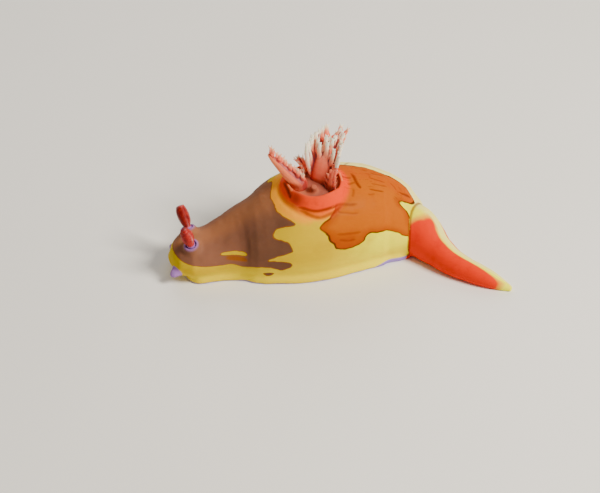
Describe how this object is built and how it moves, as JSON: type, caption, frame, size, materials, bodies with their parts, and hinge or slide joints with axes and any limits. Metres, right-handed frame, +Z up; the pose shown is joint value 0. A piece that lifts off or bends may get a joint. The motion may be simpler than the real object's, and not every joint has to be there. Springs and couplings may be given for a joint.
{
  "type": "sea slug model",
  "caption": "Life-size sea slug, a nembrotha rutilans: a fat smooth body on a flat foot, red gill leaves in a collar on the back, and a pointed tail bent aside behind the hump.",
  "frame": {"origin": "on the flat sole of the foot, at floor level, under the middle of the gill", "axes": "+Z up from the floor, -X towards the head, +X towards the tail; the animal's left side, which the picture shows, faces -Y"},
  "size_m": [0.0592, 0.0224, 0.0244],
  "materials": {
    "skin_orange": "wet, smooth skin",
    "skin_brown": "wet, smooth skin",
    "skin_cream": "wet, smooth skin",
    "foot_violet": "wet, smooth skin",
    "tail_red": "wet, smooth skin",
    "gill_red": "wet, smooth skin",
    "rhinophore_red": "wet, smooth skin"
  },
  "bodies": {
    "root": {"back_middle": "skin_orange", "back_rear": "skin_orange", "head": "skin_brown", "back_front": "skin_brown", "oral_tentacle_left": "skin_cream", "oral_tentacle_right": "skin_cream", "foot": "foot_violet", "tail_root": "tail_red", "tail_middle": "tail_red", "tail_tip": "tail_red", "gill_collar": "gill_red", "anal_papilla": "gill_red", "gill_leaf_front": "gill_red", "gill_leaf_right_front": "gill_red", "gill_leaf_right": "gill_red", "gill_leaf_right_rear": "gill_red", "gill_leaf_rear": "gill_red", "rhinophore_left": "rhinophore_red", "rhinophore_right": "rhinophore_red"}
  },
  "joints": []
}
